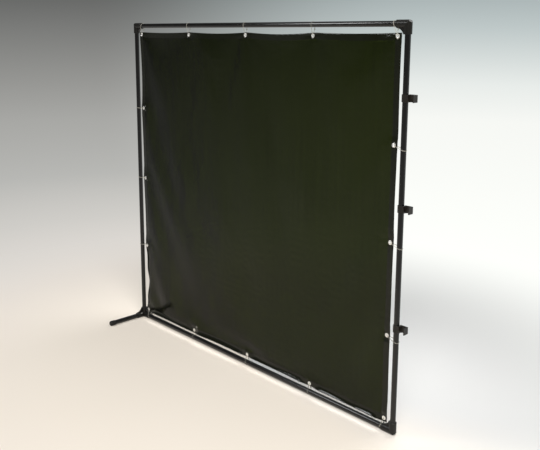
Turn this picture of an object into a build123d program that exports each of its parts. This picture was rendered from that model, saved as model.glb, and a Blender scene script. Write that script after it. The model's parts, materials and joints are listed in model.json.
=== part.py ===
from build123d import *
from collections import namedtuple
import math
import os

# A welding curtain screen: a rectangular frame of one-inch tubes in moulded fittings, which
# stands on one cross foot at its left end, and a tinted film curtain tied into it. Clips on the
# right upright hook onto the next screen. X runs along the rails, -Y is the front, Z is up, and
# the origin is on the floor under the middle of the whole screen.

# ---- frame, in millimetres ----
overall_height = 1829.0  # floor to the top of the corner fittings
rail_span = 1929.0  # between the axes of the two uprights
axis_height = 15.0  # bottom rail and legs above the floor
leg_reach = 255.0  # from the frame's plane to the tip of a leg
tube_radius = 12.7
tube_wall = 1.5

# ---- moulded fittings ----
sleeve_radius = 17.0
long_sleeve = 56.0  # along rails and legs, from the corner's axis
short_sleeve = 43.0  # along the uprights
tube_stop = 15.0  # where a tube ends, from the corner's axis
socket_gap = 0.1  # all round a tube in its socket
sleeve_edge = 1.5
gusset_radius = 38.0  # hollow curve between two sleeves
gusset_thickness = 12.0
corner_chamfer = 11.0
cap_radius = 15.0
cap_length = 33.0
cap_end_wall = 4.0
cap_rounding = 9.0

# ---- spring buttons that lock the tubes ----
button_setback = 28.0  # from the corner's axis
button_radius = 3.0
button_gap = 0.1
button_window_gap = 0.4  # round the button in the sleeve
button_proud = 1.2
button_rounding = 1.6
button_flange_radius = 4.0
button_flange_top = 10.3  # from the tube's axis
button_flange_thickness = 0.9
spring_width = 6.0
spring_thickness = 0.6
spring_top = 9.3  # outer faces of the two legs, from the tube's axis
spring_bottom = 10.5
spring_tail = 7.0  # beyond the button, towards the corner
spring_leg = 18.0  # from the button to the bend

# ---- link clips ----
clip_heights = {"top_link_clip": 1510.0, "middle_link_clip": 1040.0, "bottom_link_clip": 503.0}
clip_tall = 32.0
clip_pitch = 32.0  # from this screen's upright to the next one's
collar_gap = 0.08
collar_wall = 3.2
collar_mouth = 20.0
jaw_radius = 12.8
jaw_wall = 3.5
jaw_lip = 12.5  # how far the jaw's arms reach past the tube's axis
jaw_mouth = 24.0
clip_edge = 0.8

# ---- curtain ----
grommet_pitch = 457.2  # along the rails, 18 inches
grommets_per_side = 5
top_drop = 50.0  # top row of grommets below the top rail's axis
bottom_rise = 43.0  # bottom row above the bottom rail's axis
side_margin = 19.0  # grommet centre to the film's side edges
end_margin = 14.0  # grommet centre to the film's top and bottom edges
left_sag = 8.0  # the middle grommets of a side hang below an even spacing
right_sag = 28.0
top_slip = 13.0  # the middle grommets of the top row sit towards the foot
film_thickness = 0.5
hem_width = 30.0

# ---- grommets ----
grommet_hole = 4.6
barrel_radius = 5.0
film_hole = 5.1
flange_radius = 10.0
flange_thickness = 1.2
washer_thickness = 0.8
lip_radius = 0.5

# ---- cable ties ----
tie_width = 3.0
tie_thickness = 1.1
tie_loop_radius = 13.8  # inside, round a tube
tie_eye_radius = 3.6  # inside, through a grommet
tie_hole_gap = 0.8  # between the tie and the grommet's bore
tie_head = (6.0, 4.4, 5.0)  # along the strap, out of it, and across it
corner_tie_place = 63.0  # on the rails, from the upright's axis
right_tie_drop = 14.0  # the right ties hang lower on the tube than their grommets

# ---- places worked out from those ----
clip_reach = clip_pitch + jaw_radius + jaw_wall
left_x = (sleeve_radius - rail_span - clip_reach) / 2
right_x = left_x + rail_span
middle_x = (left_x + right_x) / 2
bottom_z = axis_height
top_z = overall_height - sleeve_radius
top_left = Vector(left_x, 0, top_z)
top_right = Vector(right_x, 0, top_z)
bottom_right = Vector(right_x, 0, bottom_z)
foot = Vector(left_x, 0, bottom_z)

right, left = Vector(1, 0, 0), Vector(-1, 0, 0)
front, rear = Vector(0, -1, 0), Vector(0, 1, 0)
up, down = Vector(0, 0, 1), Vector(0, 0, -1)
half_right = Vector(1, 0, 1).normalized()  # upwards and along the screen

Socket = namedtuple("Socket", "name corner along outward sleeve")
sockets = [
    Socket("top_left_rail", top_left, right, rear, long_sleeve),
    Socket("top_left_upright", top_left, down, rear, short_sleeve),
    Socket("top_right_rail", top_right, left, rear, long_sleeve),
    Socket("top_right_upright", top_right, down, rear, short_sleeve),
    Socket("bottom_right_rail", bottom_right, left, rear, long_sleeve),
    Socket("bottom_right_upright", bottom_right, up, rear, short_sleeve),
    Socket("foot_rail", foot, right, rear, long_sleeve),
    Socket("foot_upright", foot, up, left, short_sleeve),
    Socket("front_leg", foot, front, half_right, long_sleeve),
    Socket("rear_leg", foot, rear, half_right, long_sleeve),
]
socket_named = {socket.name: socket for socket in sockets}


def rod(start, direction, length, radius):
    """A cylinder that begins at start and runs along direction."""
    return Solid.make_cylinder(radius, length, Plane(origin=start, z_dir=direction))


def half_space(point, direction, size=500.0):
    """A block whose face passes through point, on the side that direction points to."""
    return Plane(origin=point, z_dir=direction) * Pos(0, 0, size / 2) * Box(size, size, size)


def end_edge(solid, direction):
    """The round edge that lies furthest along direction."""
    return max(solid.edges(), key=lambda edge: edge.center(CenterOf.BOUNDING_BOX).dot(direction))


# ---- tubes and fittings ----


def sleeve(socket, behind=0.0):
    """A fitting's round arm, from a little behind the corner to the socket's mouth."""
    start = socket.corner - socket.along * behind
    arm = rod(start, socket.along, socket.sleeve + behind, sleeve_radius)
    return arm.chamfer(sleeve_edge, None, [end_edge(arm, socket.along)])


def bore(socket):
    """The room for a tube in its socket."""
    start = socket.corner + socket.along * (tube_stop - socket_gap)
    return rod(start, socket.along, socket.sleeve, tube_radius + socket_gap)


def button_place(socket):
    return socket.corner + socket.along * button_setback


def button_window(socket, radius):
    """The hole that a spring button stands in, on one side of a tube."""
    return rod(button_place(socket), socket.outward, 2 * sleeve_radius, radius)


def gusset(corner, along, across, length, width):
    """A flat web that fills the corner between two sleeves, with a hollow round edge."""
    reach = sleeve_radius + gusset_radius
    web = Rectangle(reach, reach, align=(Align.MIN, Align.MIN))
    web -= Pos(reach, reach) * Circle(gusset_radius)
    web &= Rectangle(length, width, align=(Align.MIN, Align.MIN))
    plane = Plane(origin=corner, x_dir=along, z_dir=along.cross(across))
    return extrude(plane * web, gusset_thickness / 2, both=True)


def finish_fitting(body, own_sockets):
    """Opens the sockets and button windows, and flattens an underside that meets the floor."""
    for socket in own_sockets:
        body -= bore(socket)
        body -= button_window(socket, button_radius + button_window_gap)
    return body - half_space(Vector(0, 0, 0), down, 4 * rail_span)


def elbow(rail_socket, upright_socket):
    """A mitred corner of two sleeves, with its outer corner cut off and a gusset inside."""
    corner = rail_socket.corner
    along, across = rail_socket.along, upright_socket.along
    rail_arm = sleeve(rail_socket, sleeve_radius) & half_space(corner, along - across)
    upright_arm = sleeve(upright_socket, sleeve_radius) & half_space(corner, across - along)
    outer = (along + across).normalized() * -1
    cut = sleeve_radius * math.sqrt(2) - corner_chamfer / math.sqrt(2)
    body = rail_arm + upright_arm
    body += gusset(corner, along, across, rail_socket.sleeve, upright_socket.sleeve)
    body -= half_space(corner + outer * cut, outer)
    return finish_fitting(body, [rail_socket, upright_socket])


def foot_fitting():
    """The four-way fitting: an upright, the bottom rail and two legs meet in it."""
    rail, upright, front_leg, rear_leg = (
        socket_named[name] for name in ("foot_rail", "foot_upright", "front_leg", "rear_leg")
    )
    body = sleeve(upright, sleeve_radius) + sleeve(rail) + sleeve(front_leg) + sleeve(rear_leg)
    for arm in (rail, front_leg, rear_leg):
        body += gusset(foot, arm.along, up, arm.sleeve, upright.sleeve)
    return finish_fitting(body, [rail, upright, front_leg, rear_leg])


def tube(first, last=None):
    """A tube from one socket to another, or to the end of a leg, with its button holes."""
    start = first.corner + first.along * tube_stop
    if last:
        length = (last.corner - first.corner).length - 2 * tube_stop
    else:
        length = leg_reach - cap_end_wall - tube_stop
    body = rod(start, first.along, length, tube_radius)
    body -= rod(start, first.along, length, tube_radius - tube_wall)
    for socket in (first, last) if last else (first,):
        body -= button_window(socket, button_radius + button_gap)
    return body


def leg_cap(socket):
    """A soft cap with a rounded end, pushed over the end of a leg."""
    start = socket.corner + socket.along * (leg_reach - cap_length)
    body = rod(start, socket.along, cap_length, cap_radius)
    body = body.fillet(cap_rounding, [end_edge(body, socket.along)])
    return body - rod(start, socket.along, cap_length - cap_end_wall, tube_radius + socket_gap)


# ---- spring buttons ----


def snap_button(socket):
    """A round button on a flange that stops it under the tube's wall."""
    place, outward = button_place(socket), socket.outward
    shank_length = sleeve_radius + button_proud - button_flange_top
    shank = rod(place + outward * button_flange_top, outward, shank_length, button_radius)
    shank = shank.fillet(button_rounding, [end_edge(shank, outward)])
    flange_start = place + outward * (button_flange_top - button_flange_thickness)
    return shank + rod(flange_start, outward, button_flange_thickness, button_flange_radius)


def button_spring(socket):
    """A flat strip bent to a U inside the tube: one leg pushes the button, one the far wall."""
    middle = (spring_top - spring_bottom) / 2
    bend = (spring_top + spring_bottom) / 2
    legs = spring_tail + spring_leg
    strip = Pos(spring_leg, middle) * Circle(bend)
    strip += Pos(spring_leg - legs / 2, middle) * Rectangle(legs, 2 * bend)
    hollow = bend - spring_thickness
    strip -= Pos(spring_leg, middle) * Circle(hollow)
    strip -= Pos(spring_leg - legs, middle) * Rectangle(2 * legs, 2 * hollow)
    plane = Plane(
        origin=button_place(socket),
        x_dir=socket.along,
        z_dir=socket.along.cross(socket.outward),
    )
    return extrude(plane * strip, spring_width / 2, both=True)


# ---- link clips ----


def link_clip(height):
    """An S-shaped clip: a collar snapped on the upright, and a jaw for the next upright."""
    collar_outside = tube_radius + collar_gap + collar_wall
    jaw_outside = jaw_radius + jaw_wall
    arm = collar_mouth / 2
    jaw = Rectangle(
        clip_reach - arm, jaw_outside + jaw_lip, align=(Align.MIN, Align.MIN)
    )
    outline = Circle(collar_outside) + Pos(arm, -jaw_lip) * jaw
    outline -= Circle(tube_radius + collar_gap)
    outline -= Pos(0, collar_outside) * Rectangle(collar_mouth, 2 * collar_outside)
    outline -= Pos(clip_pitch, 0) * Circle(jaw_radius)
    outline -= Pos(clip_pitch, -jaw_outside) * Rectangle(jaw_mouth, 2 * jaw_outside)
    body = extrude(outline, clip_tall / 2, both=True)
    ends = body.edges().group_by(Axis.Z)
    body = chamfer(ends[0] + ends[-1], clip_edge)
    return Pos(right_x, 0, height) * body


# ---- curtain ----

first_grommet_x = middle_x - grommet_pitch * (grommets_per_side - 1) / 2
last_grommet_x = middle_x + grommet_pitch * (grommets_per_side - 1) / 2
top_grommet_z = top_z - top_drop
bottom_grommet_z = bottom_z + bottom_rise
row_pitch = (top_grommet_z - bottom_grommet_z) / (grommets_per_side - 1)
film_left = first_grommet_x - side_margin
film_right = last_grommet_x + side_margin
film_top = top_grommet_z + end_margin
film_bottom = bottom_grommet_z - end_margin

Grommet = namedtuple("Grommet", "side place tied_to")


def grommet_list():
    """Every grommet once, with the point on the frame's axes that its tie goes round."""
    last = grommets_per_side - 1
    found = []
    for step in range(grommets_per_side):
        corner = step in (0, last)
        even = first_grommet_x + grommet_pitch * step
        tie_x = {0: left_x + corner_tie_place, last: right_x - corner_tie_place}.get(step)
        top_x = even if corner else even - top_slip
        top_tie = tie_x if corner else top_x
        bottom_tie = tie_x if corner else even
        top_place, bottom_place = Vector(top_x, 0, top_grommet_z), Vector(even, 0, bottom_grommet_z)
        found.append(Grommet("top", top_place, Vector(top_tie, 0, top_z)))
        found.append(Grommet("bottom", bottom_place, Vector(bottom_tie, 0, bottom_z)))
    for step in range(1, last):
        even = top_grommet_z - row_pitch * step
        left_z, right_z = even - left_sag, even - right_sag
        left_place = Vector(first_grommet_x, 0, left_z)
        right_place = Vector(last_grommet_x, 0, right_z)
        found.append(Grommet("left", left_place, Vector(left_x, 0, left_z)))
        found.append(Grommet("right", right_place, Vector(right_x, 0, right_z - right_tie_drop)))
    return found


grommets = grommet_list()


def film_panel(x_low, x_high, z_low, z_high, y_low):
    """One layer of film between those edges, with the grommet holes that fall in it."""
    size = (x_high - x_low, film_thickness, z_high - z_low)
    centre = Pos((x_low + x_high) / 2, y_low + film_thickness / 2, (z_low + z_high) / 2)
    body = centre * Box(*size)
    for grommet in grommets:
        x, z = grommet.place.X, grommet.place.Z
        if x_low < x < x_high and z_low < z < z_high:
            body -= rod(Vector(x, y_low - 1, z), rear, film_thickness + 2, film_hole)
    return body


film_front = -film_thickness / 2
hem_front = film_thickness / 2
hem_rear = hem_front + film_thickness


def hems():
    """The four edges folded to the rear and welded down, as second layers of the film."""
    inner_top, inner_bottom = film_top - hem_width, film_bottom + hem_width
    return {
        "top_hem": film_panel(film_left, film_right, inner_top, film_top, hem_front),
        "bottom_hem": film_panel(film_left, film_right, film_bottom, inner_bottom, hem_front),
        "left_hem": film_panel(
            film_left, film_left + hem_width, inner_bottom, inner_top, hem_front
        ),
        "right_hem": film_panel(
            film_right - hem_width, film_right, inner_bottom, inner_top, hem_front
        ),
    }


def turned(points, place):
    """A ring with that outline of radius against depth, round the Y axis through place."""
    outline = make_face(Polyline(*points, close=True))
    ring = revolve(outline, Axis.Y)
    return Pos(place.X, 0, place.Z) * ring


def eyelet(place):
    """The front half of a grommet: a domed flange and a barrel rolled over at the rear."""
    face, root = film_front - flange_thickness, film_front
    barrel_end = hem_rear + washer_thickness
    outline = [
        (grommet_hole, face + 0.4),
        (grommet_hole + 1.0, face),
        (flange_radius - 1.6, face + 0.2),
        (flange_radius, root - 0.3),
        (flange_radius, root),
        (barrel_radius, root),
        (barrel_radius, barrel_end),
        (barrel_radius + 2 * lip_radius, barrel_end),
        (barrel_radius + lip_radius, barrel_end + lip_radius),
        (grommet_hole, barrel_end),
    ]
    return turned(outline, place)


def washer(place):
    """The rear half of a grommet: a flat ring round the barrel, under its rolled lip."""
    outline = [
        (barrel_radius + 0.05, hem_rear),
        (flange_radius, hem_rear),
        (flange_radius - 0.4, hem_rear + washer_thickness),
        (barrel_radius + 0.05, hem_rear + washer_thickness),
    ]
    return turned(outline, place)


# ---- cable ties ----


def tie_outline(span, loop_radius, eye_radius):
    """The shape inside a band pulled round a tube at 0 and an eye at span."""
    tilt = math.asin((loop_radius - eye_radius) / span)
    rise, shift = math.cos(tilt), math.sin(tilt)
    band = make_face(
        Polyline(
            (loop_radius * shift, loop_radius * rise),
            (span + eye_radius * shift, eye_radius * rise),
            (span + eye_radius * shift, -eye_radius * rise),
            (loop_radius * shift, -loop_radius * rise),
            close=True,
        )
    )
    return band + Circle(loop_radius) + Pos(span, 0) * Circle(eye_radius)


def cable_tie(grommet):
    """A strap round a tube and through a grommet, with its head on the rear."""
    across = grommet.place - grommet.tied_to
    span = across.length - (grommet_hole - tie_hole_gap) - tie_eye_radius
    outer = tie_outline(span, tie_loop_radius + tie_thickness, tie_eye_radius + tie_thickness)
    band = outer - tie_outline(span, tie_loop_radius, tie_eye_radius)
    plane = Plane(origin=grommet.tied_to, x_dir=across, z_dir=across.cross(rear))
    strap = extrude(plane * band, tie_width / 2, both=True)
    length, depth, width = tie_head
    lean = math.degrees(math.asin((tie_loop_radius - tie_eye_radius) / span))
    half_way = span / 2
    level = (tie_loop_radius + tie_eye_radius) / 2 + tie_thickness + depth / 2 - 0.6
    head = Pos(half_way, level, 0) * Rot(0, 0, -lean) * Box(length, depth, width)
    return strap + plane * head


# ---- the nodes ----


def group(solids):
    return Compound(children=list(solids))


def flat(shape):
    """The one solid in a shape, ready to export."""
    found = shape.solids()
    assert len(found) == 1, f"{len(found)} solids where one was expected"
    return found[0]


nodes = {
    "left_upright_tube": flat(tube(socket_named["foot_upright"], socket_named["top_left_upright"])),
    "right_upright_tube": flat(
        tube(socket_named["bottom_right_upright"], socket_named["top_right_upright"])
    ),
    "top_rail_tube": flat(tube(socket_named["top_left_rail"], socket_named["top_right_rail"])),
    "bottom_rail_tube": flat(tube(socket_named["foot_rail"], socket_named["bottom_right_rail"])),
    "foot_fitting": flat(foot_fitting()),
}
for name in ("top_left", "top_right", "bottom_right"):
    rail_socket, upright_socket = socket_named[name + "_rail"], socket_named[name + "_upright"]
    nodes[name + "_elbow"] = flat(elbow(rail_socket, upright_socket))
for name in ("front_leg", "rear_leg"):
    nodes[name + "_tube"] = flat(tube(socket_named[name]))
    nodes[name + "_cap"] = flat(leg_cap(socket_named[name]))
for socket in sockets:
    nodes[socket.name + "_button"] = flat(snap_button(socket))
    nodes[socket.name + "_spring"] = flat(button_spring(socket))
for name, height in clip_heights.items():
    nodes[name] = flat(link_clip(height))
nodes["curtain"] = flat(film_panel(film_left, film_right, film_bottom, film_top, film_front))
for name, body in hems().items():
    nodes[name] = flat(body)
nodes["grommet_eyelets"] = group(flat(eyelet(grommet.place)) for grommet in grommets)
nodes["grommet_washers"] = group(flat(washer(grommet.place)) for grommet in grommets)
for side in ("top", "bottom", "left", "right"):
    own = [grommet for grommet in grommets if grommet.side == side]
    nodes[side + "_ties"] = group(flat(cable_tie(grommet)) for grommet in own)

os.makedirs("parts", exist_ok=True)
for name, shape in nodes.items():
    shape.label = name
    export_step(shape, f"parts/{name}.step")
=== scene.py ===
import json
import math

import bpy
import numpy as np
from mathutils import Matrix, Vector


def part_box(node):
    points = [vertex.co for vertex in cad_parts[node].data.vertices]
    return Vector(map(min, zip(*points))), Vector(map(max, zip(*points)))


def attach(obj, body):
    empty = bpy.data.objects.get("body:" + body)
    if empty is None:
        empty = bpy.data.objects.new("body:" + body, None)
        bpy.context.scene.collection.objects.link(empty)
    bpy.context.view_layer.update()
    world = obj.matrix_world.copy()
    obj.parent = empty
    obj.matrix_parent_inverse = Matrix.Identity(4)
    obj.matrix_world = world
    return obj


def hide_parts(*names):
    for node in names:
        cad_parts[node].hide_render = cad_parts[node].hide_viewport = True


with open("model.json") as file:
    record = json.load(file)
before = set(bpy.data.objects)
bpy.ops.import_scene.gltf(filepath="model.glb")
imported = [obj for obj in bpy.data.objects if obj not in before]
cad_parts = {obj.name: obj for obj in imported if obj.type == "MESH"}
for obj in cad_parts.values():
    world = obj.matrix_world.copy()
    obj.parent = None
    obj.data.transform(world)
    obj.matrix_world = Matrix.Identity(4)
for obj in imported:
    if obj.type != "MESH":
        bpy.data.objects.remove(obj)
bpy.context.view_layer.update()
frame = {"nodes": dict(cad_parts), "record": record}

# The welding curtain screen's looks, in metres and in the CAD's own frame: X runs along the
# rails, -Y is the front and Z is up. The film curtain is simulated as cloth held at its sixteen
# grommets; the moulded and metal pieces are the CAD's own, each with its finish.

random = np.random.default_rng(11)


# ---------------------------------------------------------------- materials

class Shader:
    """A node material that is built one node at a time."""

    def __init__(self, name):
        self.material = bpy.data.materials.new(name)
        self.material.use_nodes = True
        self.tree = self.material.node_tree
        self.tree.nodes.clear()
        self.place = self.node("ShaderNodeTexCoord").outputs["Object"]

    def node(self, kind, inputs=None, **settings):
        """A node whose inputs are plain values, or sockets to link."""
        made = self.tree.nodes.new(kind)
        for name, value in settings.items():
            setattr(made, name, value)
        for name, value in (inputs or {}).items():
            if isinstance(value, bpy.types.NodeSocket):
                self.tree.links.new(value, made.inputs[name])
            else:
                made.inputs[name].default_value = value
        return made

    def noise(self, scale, detail=3.0, roughness=0.5, stretch=(1, 1, 1)):
        """Noise with features about 1 / scale metres across, finer along a stretched axis."""
        spread = self.node("ShaderNodeMapping", {"Vector": self.place, "Scale": stretch})
        return self.node("ShaderNodeTexNoise", {
            "Vector": spread.outputs["Vector"], "Scale": scale, "Detail": detail,
            "Roughness": roughness}).outputs["Fac"]

    def between(self, value, low, high, start=0.3, end=0.7, smooth=False):
        """value mapped from start..end to low..high."""
        return self.node("ShaderNodeMapRange", {
            "Value": value, "From Min": start, "From Max": end, "To Min": low, "To Max": high},
            interpolation_type="SMOOTHSTEP" if smooth else "LINEAR").outputs["Result"]

    def blend(self, factor, first, second):
        """The colour between first and second, by factor."""
        return self.node("ShaderNodeMix", {0: factor, 6: first, 7: second},
                         data_type="RGBA").outputs[2]

    def math(self, operation, first, second):
        return self.node("ShaderNodeMath", {0: first, 1: second}, operation=operation).outputs[0]

    def ramp(self, value, end, stops):
        """Greys along 0..end: each stop is a place, its lightness and how cool it is."""
        made = self.node("ShaderNodeValToRGB", {"Fac": self.math("DIVIDE", value, end)})
        points = made.color_ramp.elements
        points.remove(points[1])
        for place, grey, cool in stops:
            point = points.new(place / end)
            point.color = (grey * (1 - 0.13 * cool), grey, grey * (0.96 + 0.05 * cool), 1)
        points.remove(points[0])
        return made.outputs["Color"]

    def bump(self, height, depth, under=None):
        """A normal for relief that is depth metres deep."""
        inputs = {"Height": height, "Distance": depth, "Strength": 1.0}
        if under is not None:
            inputs["Normal"] = under
        return self.node("ShaderNodeBump", inputs).outputs["Normal"]

    def finish(self, surface):
        output = self.node("ShaderNodeOutputMaterial")
        self.tree.links.new(surface.outputs[0], output.inputs["Surface"])
        return self.material


def powder_coat():
    """Black powder coat: fine orange peel, uneven gloss, and dust that greys it here and there."""
    s = Shader("black_powder_coat")
    peel = s.noise(900, detail=2)
    cloud = s.noise(9, detail=4)
    dust = s.between(s.noise(60, detail=6, roughness=0.7), 0, 1, 0.56, 0.78)
    colour = s.blend(s.math("MULTIPLY", dust, 0.20),
                     s.blend(cloud, (0.0025, 0.0025, 0.0027, 1), (0.0055, 0.0050, 0.0045, 1)),
                     (0.035, 0.032, 0.028, 1))
    return s.finish(s.node("ShaderNodeBsdfPrincipled", {
        "Base Color": colour, "Roughness": s.between(cloud, 0.12, 0.20),
        "Normal": s.bump(peel, 0.00005), "Specular IOR Level": 0.42}))


def moulded_plastic(name, dark, light, grain, gloss):
    """Black moulded plastic with a sparked grain, flow marks and paler rubbed patches."""
    s = Shader(name)
    cloud = s.noise(22, detail=5, roughness=0.6)
    rubbed = s.between(s.noise(85, detail=6, roughness=0.75), 0, 0.5, 0.55, 0.75)
    colour = s.blend(rubbed, s.blend(cloud, dark, light), tuple(2.2 * c for c in light[:3]) + (1,))
    relief = s.bump(s.noise(grain, detail=2), 0.00012, s.bump(cloud, 0.0008))
    return s.finish(s.node("ShaderNodeBsdfPrincipled", {
        "Base Color": colour, "Roughness": s.between(rubbed, gloss, gloss + 0.16, 0, 0.5),
        "Normal": relief, "Specular IOR Level": 0.30}))


def plated_metal(name, colour, rough):
    """Bright plated metal with faint drawing marks and tarnish."""
    s = Shader(name)
    tarnish = s.noise(180, detail=5, roughness=0.65)
    marks = s.noise(700, detail=3, stretch=(1, 1, 5))
    shade = tuple(0.62 * c for c in colour[:3]) + (1,)
    return s.finish(s.node("ShaderNodeBsdfPrincipled", {
        "Base Color": s.blend(s.between(tarnish, 0, 1, 0.5, 0.8), colour, shade), "Metallic": 1.0,
        "Roughness": s.between(marks, rough, rough + 0.16), "Normal": s.bump(marks, 0.00003)}))


def natural_nylon():
    """Milky uncoloured nylon that some light passes straight through."""
    s = Shader("natural_nylon")
    milk = s.noise(240, detail=3)
    body = s.node("ShaderNodeBsdfPrincipled", {
        "Base Color": s.blend(milk, (0.50, 0.48, 0.43, 1), (0.66, 0.64, 0.58, 1)),
        "Roughness": s.between(milk, 0.30, 0.44),
        "Normal": s.bump(s.noise(1500, detail=1), 0.00008)})
    through = s.node("ShaderNodeBsdfTransparent", {"Color": (0.96, 0.95, 0.91, 1)})
    return s.finish(s.node("ShaderNodeMixShader", {
        "Fac": s.between(milk, 0.62, 0.74), 1: body.outputs[0], 2: through.outputs[0]}))


def tinted_film(name, tint, haze, index):
    """Glossy see-through welding film: tint is the share of light that passes one of its two
    faces, haze the share that is scattered. A higher index makes it glossier. Faint draw lines
    run down the film."""
    s = Shader(name)
    streaks = s.noise(1.4, detail=6, roughness=0.62, stretch=(46, 1, 1))
    clouds = s.noise(2.6, detail=3)
    depth = s.math("ADD", s.math("MULTIPLY", streaks, 0.6), s.math("MULTIPLY", clouds, 0.4))
    thin = tuple(1.10 * c for c in tint) + (1,)
    thick = tuple(0.90 * c for c in tint) + (1,)
    through = s.node("ShaderNodeBsdfTransparent", {
        "Color": s.blend(s.between(depth, 0, 1, 0.35, 0.65), thin, thick)})
    ripple = s.bump(s.noise(5, detail=1, stretch=(1.6, 1, 1)), 0.0020)
    relief = s.bump(streaks, 0.0002, ripple)
    scatter = s.node("ShaderNodeBsdfDiffuse", {
        "Color": s.blend(clouds, (0.050, 0.060, 0.024, 1), (0.070, 0.080, 0.034, 1)),
        "Normal": relief})
    body = s.node("ShaderNodeMixShader", {"Fac": haze, 1: through.outputs[0],
                                          2: scatter.outputs[0]})
    shine = s.node("ShaderNodeBsdfGlossy", {
        "Color": (1, 1, 1, 1), "Roughness": s.between(clouds, 0.10, 0.17), "Normal": relief})
    edge = s.node("ShaderNodeFresnel", {"IOR": index, "Normal": relief})
    return s.finish(s.node("ShaderNodeMixShader", {
        "Fac": edge.outputs[0], 1: body.outputs[0], 2: shine.outputs[0]}))


finishes = {
    "black_tube": powder_coat(),
    "fitting_plastic": moulded_plastic(
        "fitting_plastic", (0.005, 0.005, 0.0045, 1), (0.011, 0.010, 0.008, 1), 1100, 0.28),
    "clip_plastic": moulded_plastic(
        "clip_plastic", (0.008, 0.007, 0.006, 1), (0.016, 0.013, 0.010, 1), 1300, 0.34),
    "cap_vinyl": moulded_plastic(
        "cap_vinyl", (0.006, 0.006, 0.006, 1), (0.012, 0.011, 0.010, 1), 500, 0.46),
    "button_steel": plated_metal("button_steel", (0.78, 0.77, 0.74, 1), 0.18),
    "spring_steel": plated_metal("spring_steel", (0.48, 0.46, 0.43, 1), 0.30),
    "grommet_nickel": plated_metal("grommet_nickel", (0.96, 0.94, 0.90, 1), 0.32),
    "tie_nylon": natural_nylon(),
    "tinted_film": tinted_film("tinted_film", (0.113, 0.131, 0.045), 0.03, 1.26),
    "doubled_film": tinted_film("doubled_film", (0.030, 0.032, 0.014), 0.08, 1.35),
}

for part in frame["record"]["subparts"]:
    slots = frame["nodes"][part["node"]].material_slots
    slots[0].material = finishes[part["material_slot"]]


# ---------------------------------------------------------------- the film curtain

grommets_per_side = 5
grommet_span = 0.05  # more than an eyelet's width, and less than the way to the next one
margin_cells = 2  # of the simulated net, from a grommet to the film's edge
hem_cells = 1  # from the grommet's line to the inside of the hem
span_cells = 25  # from there to the next grommet's line
slack = (1.0035, 1.0045)  # how much larger the film is cut than it is held, in X and Z
last_frame = 40  # of the simulation, when the film has come to rest
sway_limit = 0.020  # how far a point may end in front of the frame's plane or behind it
hem_width = 0.030
film_half = 0.00025  # half the film's thickness
hem_extra = 0.00055  # how much further back the folded hem's rear face lies
hem_step = 0.06  # of a net cell, in which the film steps from double to single
hole_radius = 0.0053
crease_start, crease_fade = 0.012, 0.026  # from a grommet's centre
crease_low, crease_ramp = 0.010, 0.008  # the creases start from nothing under the eyelet's rim

# The edges between grommets: spans run from the left, and side spans from the bottom.
curled_width = 0.026  # of the bottom hem, which curls forward
curl_angles = (50, 62, 60, 54)  # degrees, at the free edge
curl_ramp = 0.07  # from a grommet to the full curl
top_sags = (0.004, 0.006, 0.008, 0.004)
bottom_rises = (0.003, 0.003, 0.002, 0.001)
left_draws = (0.003, 0.006, 0.005, 0.007)
right_draws = (0.002, 0.003, 0.002, 0.003)
top_fade, bottom_fade, side_fade = 0.15, 0.12, 0.10  # how far into the film each one reaches
fold_top, fold_top_ramp = 0.47, 0.14  # heights between which the lower left edge turns
fold_bottom, fold_bottom_ramp = 0.075, 0.05
fold_width = 0.022
fold_inward, fold_backward = 0.010, 0.011


def grommet_centres():
    """The middle of each eyelet, found from the vertices that lie together."""
    points = np.array([v.co for v in frame["nodes"]["grommet_eyelets"].data.vertices])
    centres = []
    while len(points):
        near = np.linalg.norm(points - points[0], axis=1) < grommet_span
        centres.append((points[near].min(0) + points[near].max(0)) / 2)
        points = points[~near]
    return np.array(centres)


def knots(low, high, places):
    """The film's lines along one side: its two edges, the hem's inner lines and the grommets."""
    inner = [low + hem_width, high - hem_width]
    return np.array([low, places[0], inner[0], *places[1:-1], inner[1], places[-1], high])


def net_lines(marks):
    """Places of the net's lines between knots, evenly spaced in each stretch."""
    cells = [margin_cells, hem_cells, *[span_cells] * (len(marks) - 5), hem_cells, margin_cells]
    index = np.concatenate([[0], np.cumsum(cells)])
    return np.interp(np.arange(index[-1] + 1), index, marks), index


def flat_net(centres, low, high):
    """The flat film as rows of points, with every grommet on a crossing of its lines."""
    by_height = centres[np.argsort(centres[:, 2])]
    bottom = np.sort(by_height[:grommets_per_side, 0])
    top = np.sort(by_height[-grommets_per_side:, 0])
    by_side = centres[np.argsort(centres[:, 0])]
    left = np.sort(by_side[:grommets_per_side, 2])
    right = np.sort(by_side[-grommets_per_side:, 2])
    bottom_x, across = net_lines(knots(low.x, high.x, bottom))
    top_x, _ = net_lines(knots(low.x, high.x, top))
    left_z, upward = net_lines(knots(low.z, high.z, left))
    right_z, _ = net_lines(knots(low.z, high.z, right))
    rise = np.clip((left_z - left[0]) / (left[-1] - left[0]), 0, 1)[:, None]
    run = np.clip((bottom_x - bottom[0]) / (bottom[-1] - bottom[0]), 0, 1)[None, :]
    x = bottom_x[None, :] + (top_x - bottom_x)[None, :] * rise
    z = left_z[:, None] + (right_z - left_z)[:, None] * run
    return np.stack([x, np.zeros_like(x), z], axis=2), across, upward


def net_faces(rows, columns):
    """Four corners for each cell of a net that is numbered row by row."""
    corner = (np.arange(rows - 1)[:, None] * columns + np.arange(columns - 1)).ravel()
    return np.stack([corner, corner + 1, corner + columns + 1, corner + columns], axis=1)


def new_object(name, points, faces):
    mesh = bpy.data.meshes.new(name)
    mesh.from_pydata(np.asarray(points).reshape(-1, 3).tolist(), [], np.asarray(faces).tolist())
    made = bpy.data.objects.new(name, mesh)
    bpy.context.scene.collection.objects.link(made)
    return made


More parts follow.
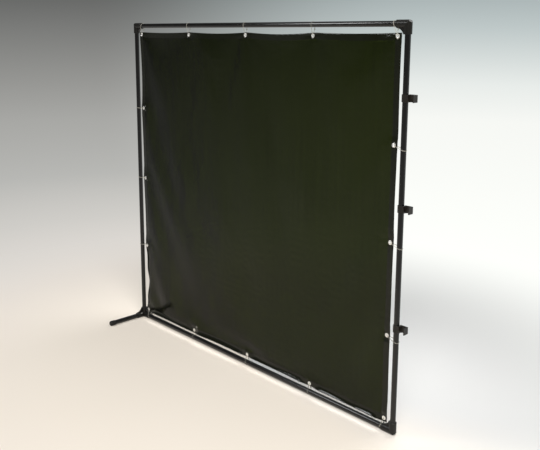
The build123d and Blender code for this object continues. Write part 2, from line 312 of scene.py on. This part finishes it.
def ripples(points):
    """A shallow, smooth unevenness for the film to start from."""
    x, z = points[..., 0], points[..., 2]
    return (0.0030 * np.sin(5.1 * x + 1.3 * z + 0.4) + 0.0022 * np.sin(11.3 * x - 2.1 * z + 2.0)
            + 0.0014 * np.sin(3.7 * z + 19.0 * x) + 0.0012 * np.sin(14.0 * z + 6.0 * x + 1.0))


def simulated(net, pinned):
    """The net hung as cloth from its pinned points, under its own weight."""
    rows, columns, _ = net.shape
    start = net.copy()
    start[..., 1] = np.where(pinned, 0, ripples(net))
    cloth = new_object("hung_film", start, net_faces(rows, columns))
    cloth.shape_key_add(name="held")
    cut = cloth.shape_key_add(name="cut")
    middle = net.reshape(-1, 3).mean(0)
    larger = middle + (net - middle) * (slack[0], 1, slack[1])
    cut.data.foreach_set("co", larger.ravel())
    cut.value = 0
    group = cloth.vertex_groups.new(name="pinned")
    group.add(np.flatnonzero(pinned.ravel()).tolist(), 1.0, "REPLACE")
    settings = cloth.modifiers.new("cloth", "CLOTH").settings
    settings.vertex_group_mass = "pinned"
    settings.rest_shape_key = cut
    settings.quality = 7
    settings.mass = 0.05
    settings.air_damping = 3.0
    settings.tension_stiffness = settings.compression_stiffness = 60
    settings.shear_stiffness = 30
    settings.bending_stiffness = 6
    for frame_number in range(1, last_frame + 1):
        bpy.context.scene.frame_set(frame_number)
    shape = cloth.evaluated_get(bpy.context.evaluated_depsgraph_get()).to_mesh()
    hung = np.empty(rows * columns * 3, np.float32)
    shape.vertices.foreach_get("co", hung)
    bpy.data.objects.remove(cloth)
    bpy.context.scene.frame_set(1)
    hung = hung.reshape(rows, columns, 3).astype(float)
    hung[..., 1] = sway_limit * np.tanh(hung[..., 1] / sway_limit)
    return hung


def finer(count, index):
    """The lines of the finished mesh as places among the net's: two for one, and one close
    beside each hem's inner line, where the film steps from double to single."""
    lines = np.arange(0, count - 0.5, 0.5)
    return np.sort(np.concatenate([lines, [index[2] + hem_step, index[-3] - hem_step]]))


def weights(places, count):
    """A matrix that reads a row of count points at places between them, on a smooth curve."""
    matrix = np.zeros((len(places), count + 2))
    whole = np.minimum(np.floor(places).astype(int), count - 2)
    t = places - whole
    terms = [(-t + 2 * t**2 - t**3) / 2, (2 - 5 * t**2 + 3 * t**3) / 2,
             (t + 4 * t**2 - 3 * t**3) / 2, (t**3 - t**2) / 2]
    for offset, term in enumerate(terms):
        matrix[np.arange(len(places)), whole + offset] += term
    inside = matrix[:, 1:-1].copy()
    inside[:, 0] += 2 * matrix[:, 0]
    inside[:, 1] -= matrix[:, 0]
    inside[:, -1] += 2 * matrix[:, -1]
    inside[:, -2] -= matrix[:, -1]
    return inside


def pucker(flat, centres):
    """Small creases that fan out from each grommet, front to back."""
    crease = np.zeros(flat.shape[:2])
    for centre in centres:
        across, upward = flat[..., 0] - centre[0], flat[..., 2] - centre[2]
        distance = np.hypot(across, upward)
        angle = np.arctan2(upward, across)
        count, turn, depth = random.integers(6, 9), random.uniform(0, 6), random.uniform(0.8, 1.5)
        fade = np.exp(-np.clip(distance - crease_start, 0, None) / crease_fade) * np.clip(
            (distance - crease_low) / crease_ramp, 0, 1)
        crease += 0.001 * depth * fade * np.cos(count * angle + turn)
    return crease


def bow(along, marks, depths):
    """A shallow arch over each span between marks, as deep as depths say."""
    arch = np.zeros_like(along)
    for start, end, depth in zip(marks, marks[1:], depths):
        arch += depth * np.sin(np.pi * np.clip((along - start) / (end - start), 0, 1))
    return arch


def hem_roll(flat, centres):
    """How the film's edges turn between grommets: shifts along X, Y and Z. The top edge sags and
    the sides draw in, the bottom hem curls forward and up, and the lower left one turns back."""
    x, z = flat[..., 0], flat[..., 2]
    inside = x - film_low.x
    spans = np.sort(centres[np.argsort(centres[:, 2])][:grommets_per_side, 0])
    heights = np.sort(centres[np.argsort(centres[:, 0])][:grommets_per_side, 2])
    kick = np.zeros_like(x)
    for start, end, angle in zip(spans, spans[1:], curl_angles):
        free = np.clip(np.minimum(x - start, end - x) / curl_ramp, 0, 1)
        kick += math.radians(angle) * free * free * (3 - 2 * free)
    kick *= 0.90 + 0.10 * np.sin(23 * x + 1.0)
    curl = np.maximum(kick, 0.001) / curled_width
    past = np.clip(film_low.z + curled_width - z, 0, None)
    curl_forward = (1 - np.cos(curl * past)) / curl
    curl_up = past - np.sin(curl * past) / curl
    low = np.clip((fold_top - z) / fold_top_ramp, 0, 1) * np.clip(
        (z - fold_bottom) / fold_bottom_ramp, 0, 1)
    fold = low * (0.7 + 0.3 * np.sin(31 * z + 0.6)) * np.exp(-(inside / fold_width) ** 2)
    top_sag = bow(x, spans, top_sags) * np.exp(-((film_high.z - z) / top_fade) ** 2)
    bottom_rise = bow(x, spans, bottom_rises) * np.exp(-((z - film_low.z) / bottom_fade) ** 2)
    left_draw = bow(z, heights, left_draws) * np.exp(-(inside / side_fade) ** 2)
    right_draw = bow(z, heights, right_draws) * np.exp(-((film_high.x - x) / side_fade) ** 2)
    return np.stack([fold_inward * fold + left_draw - right_draw,
                     fold_backward * fold - curl_forward,
                     curl_up - top_sag + bottom_rise], axis=2)


def normals(surface):
    """Unit normals towards the front."""
    along = np.gradient(surface, axis=1)
    up = np.gradient(surface, axis=0)
    across = np.cross(along, up)
    return across / np.linalg.norm(across, axis=2, keepdims=True)


centres = grommet_centres()
film_low, film_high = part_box("curtain")
net, across_index, upward_index = flat_net(centres, film_low, film_high)
rows, columns, _ = net.shape
pinned = np.zeros((rows, columns), bool)
holes = []
for centre in centres:
    distance = np.hypot(net[..., 0] - centre[0], net[..., 2] - centre[2])
    row, column = np.unravel_index(distance.argmin(), distance.shape)
    pinned[row - 1:row + 2, column - 1:column + 2] = True
    holes.append((row, column))

hung = simulated(net, pinned)

lines_x, lines_z = finer(columns, across_index), finer(rows, upward_index)
read_x, read_z = weights(lines_x, columns), weights(lines_z, rows)
surface = np.einsum("ar,rcd,bc->abd", read_z, hung, read_x)
flat = np.einsum("ar,rcd,bc->abd", read_z, net, read_x)
surface[..., 1] += pucker(flat, centres)
surface += hem_roll(flat, centres)
edge_gap = np.minimum.reduce([flat[..., 0] - film_low.x, film_high.x - flat[..., 0],
                              flat[..., 2] - film_low.z, film_high.z - flat[..., 2]])
in_hem = edge_gap < hem_width + 0.0001

facing = normals(surface)
front = surface + facing * film_half
rear = surface - facing * (film_half + hem_extra * in_hem)[..., None]
high, wide = in_hem.shape
solid = np.ones((high - 1, wide - 1), bool)
for row, column in holes:
    r = int(np.argmin(abs(lines_z - row)))
    c = int(np.argmin(abs(lines_x - column)))
    solid[r - 1:r + 1, c - 1:c + 1] = False
    ring = [(-1, -1), (-1, 0), (-1, 1), (0, 1), (1, 1), (1, 0), (1, -1), (0, -1)]
    for up, along in ring:
        turn = math.atan2(up, along)
        shift = np.array([math.cos(turn), 0, math.sin(turn)]) * hole_radius
        for layer in (front, rear):
            level = layer[r + up, c + along, 1]
            layer[r + up, c + along] = surface[r, c] + shift
            layer[r + up, c + along, 1] = level

quads = net_faces(high, wide).reshape(high - 1, wide - 1, 4)
hem_quads = (in_hem[:-1, :-1] & in_hem[1:, 1:] & in_hem[1:, :-1] & in_hem[:-1, 1:])[solid]
front_quads = quads[solid]
rear_quads = front_quads[:, ::-1] + high * wide
counted = {}
for quad in front_quads.tolist():
    for a, b in zip(quad, quad[1:] + quad[:1]):
        counted[(a, b)] = (b, a) not in counted
        if (b, a) in counted:
            counted[(b, a)] = False
rims = np.array([(b, a, a + high * wide, b + high * wide)
                 for (a, b), lone in counted.items() if lone])
used = np.unique(np.concatenate([front_quads.ravel(), rear_quads.ravel()]))
renumber = np.full(2 * high * wide, -1)
renumber[used] = np.arange(len(used))
every_point = np.concatenate([front.reshape(-1, 3), rear.reshape(-1, 3)])[used]
every_face = renumber[np.concatenate([front_quads, rear_quads, rims])]
curtain = new_object("tinted_film_curtain", every_point, every_face)
curtain.data.materials.append(finishes["tinted_film"])
curtain.data.materials.append(finishes["doubled_film"])
curtain.data.polygons.foreach_set("material_index", np.concatenate(
    [hem_quads, hem_quads, np.ones(len(rims))]).astype(np.int32))
curtain.data.polygons.foreach_set("use_smooth", np.ones(len(every_face), bool))
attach(curtain, "frame")
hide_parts("curtain", "top_hem", "bottom_hem", "left_hem", "right_hem")


# ---------------------------------------------------------------- studio

def studio_ground():
    """A pale floor that sweeps up into a wall all round, far enough out for every view."""
    flat_radius, sweep, wall_top, spokes, sweep_steps = 5.5, 4.5, 10.0, 96, 16
    profile = [(0.0, 0.0), (2.0, 0.0), (4.0, 0.0), (flat_radius, 0.0)]
    for step in range(1, sweep_steps + 1):
        turn = math.pi / 2 * step / sweep_steps
        profile.append((flat_radius + sweep * math.sin(turn), sweep * (1 - math.cos(turn))))
    profile.append((flat_radius + sweep, wall_top))
    points, faces = [(0.0, 0.0, 0.0)], []
    for radius, height in profile[1:]:
        for spoke in range(spokes):
            turn = 2 * math.pi * spoke / spokes
            points.append((radius * math.cos(turn), radius * math.sin(turn), height))
    for spoke in range(spokes):
        following = (spoke + 1) % spokes
        faces.append((0, 1 + spoke, 1 + following))
        for ring in range(len(profile) - 2):
            a, b = 1 + ring * spokes, 1 + (ring + 1) * spokes
            faces.append((a + spoke, b + spoke, b + following, a + following))
    mesh = bpy.data.meshes.new("studio_floor")
    mesh.from_pydata(points, [], faces)
    mesh.polygons.foreach_set("use_smooth", [True] * len(faces))
    made = bpy.data.objects.new("studio_floor", mesh)
    bpy.context.scene.collection.objects.link(made)
    return made


def studio_ground_and_painted_glow():
    """A diffuse floor underfoot, warm off-white, and a darker neutral grey on the right, where the
    grey is painted shade that tones down the lamplight there. Further out the floor and the wall
    glow, though they are no lamp: painted light, white on the right, whose painted falloff fades
    it to grey with distance and height, sooner on the left."""
    wall_end, climb = 14.0, 1.2  # where the greys end, and how much a metre of height counts
    glow_start, glow_full = 0.9, 2.8  # radii between which the glow takes over
    towards_right = (0.342, 0.940, 0)
    s = Shader("studio_ground_and_painted_glow")
    spot = s.node("ShaderNodeSeparateXYZ", {"Vector": s.place}).outputs
    level = s.node("ShaderNodeCombineXYZ", {"X": spot["X"], "Y": spot["Y"]}).outputs[0]
    heading = s.node("ShaderNodeVectorMath", {0: level}, operation="NORMALIZE").outputs[0]
    radius = s.node("ShaderNodeVectorMath", {0: level}, operation="LENGTH").outputs["Value"]
    # A painted light mask towards the right: there the glow is painted whiter and the floor
    # painted a darker neutral grey.
    painted_light_right = s.between(s.node("ShaderNodeVectorMath", {
        0: heading, 1: towards_right}, operation="DOT_PRODUCT").outputs["Value"],
        0.0, 1.0, 0.10, 0.68, smooth=True)
    reach = s.math("ADD", radius, s.math("MULTIPLY", spot["Z"], climb))
    # The painted glow's greys by reach, on the left and on the right: a painted light falloff,
    # darker with distance and height.
    left = s.ramp(reach, wall_end, [
        (1.5, 0.74, -0.6), (2.2, 0.72, -0.4), (3.6, 0.61, -0.2), (5.8, 0.48, 0), (8.2, 0.39, 0),
        (9.5, 0.31, 0), (11.3, 0.20, 0.1), (12.4, 0.13, 0.2), (wall_end, 0.09, 0.3)])
    right = s.ramp(reach, wall_end, [
        (1.5, 1.04, 0.1), (3.6, 1.0, 0.1), (8.2, 0.94, 0.1), (9.5, 0.84, 0.3),
        (11.3, 0.58, 0.8), (12.4, 0.44, 1), (wall_end, 0.32, 1)])
    # Painted light: an emission that makes the floor and wall glow like a lit backdrop, though
    # they are no lamp.
    painted_glow = s.node("ShaderNodeEmission", {"Color": s.blend(painted_light_right, left, right),
                                         "Strength": 1.0})
    warm = s.blend(s.noise(0.8, detail=2), (0.88, 0.80, 0.705, 1), (0.92, 0.84, 0.75, 1))
    # The floor turns a darker neutral grey on the right: painted shade that tones down the
    # lamplight falling there.
    ground = s.node("ShaderNodeBsdfDiffuse", {
        "Color": s.blend(painted_light_right, warm, (0.68, 0.68, 0.68, 1))})
    # Where the painted glow takes over from the lamp-lit diffuse floor.
    beyond = s.between(radius, 0.0, 1.0, glow_start, glow_full, smooth=True)
    s.material.cycles.emission_sampling = "NONE"
    return s.finish(s.node("ShaderNodeMixShader", {
        "Fac": beyond, 1: ground.outputs[0], 2: painted_glow.outputs[0]}))


def softbox(name, place, target, size, power, colour):
    """A rectangular area light at place, turned to target, that the camera doesn't see."""
    light = bpy.data.lights.new(name, "AREA")
    light.shape, light.energy, light.color = "RECTANGLE", power, colour
    light.size, light.size_y = size
    made = bpy.data.objects.new(name, light)
    made.location = place
    made.rotation_euler = (Vector(target) - Vector(place)).to_track_quat("-Z", "Y").to_euler()
    made.visible_camera = False
    bpy.context.scene.collection.objects.link(made)
    return made


floor = studio_ground()
floor.data.materials.append(studio_ground_and_painted_glow())

world = bpy.data.worlds.new("studio")
world.use_nodes = True
sky = world.node_tree.nodes["Background"].inputs
sky["Color"].default_value = (0.96, 0.98, 1.0, 1)
sky["Strength"].default_value = 0.36
bpy.context.scene.world = world
middle = (0.0, 0.0, 0.9)
softbox("key", (3.0, -2.2, 4.4), middle, (2.4, 2.4), 245, (1.0, 0.98, 0.95))
softbox("side", (-2.45, -2.9, 3.7), middle, (0.8, 1.8), 62, (0.97, 0.99, 1.0))
softbox("rear", (0.2, 2.9, 4.2), middle, (2.8, 2.2), 44, (1.0, 1.0, 1.0))
low = softbox("low", (0.1, 0.7, 0.9), (0.0, 0.15, 0.0), (2.0, 0.25), 8, (1.0, 0.99, 0.97))
low.visible_glossy = False
bpy.context.scene.view_settings.view_transform = "Standard"


# ---------------------------------------------------------------- camera

place = (2.759, -2.560, 1.783)
heading, tilt = math.radians(-47.2), math.radians(-10.68)
lens = bpy.data.cameras.new("camera")
lens.lens = 49.51
lens.shift_x, lens.shift_y = 0.040, -0.10
camera = bpy.data.objects.new("camera", lens)
aim = Vector((math.sin(heading) * math.cos(tilt), math.cos(heading) * math.cos(tilt),
              math.sin(tilt)))
camera.matrix_world = (
    Matrix.Translation(place) @ aim.to_track_quat("-Z", "Y").to_matrix().to_4x4())
bpy.context.scene.collection.objects.link(camera)
bpy.context.scene.camera = camera
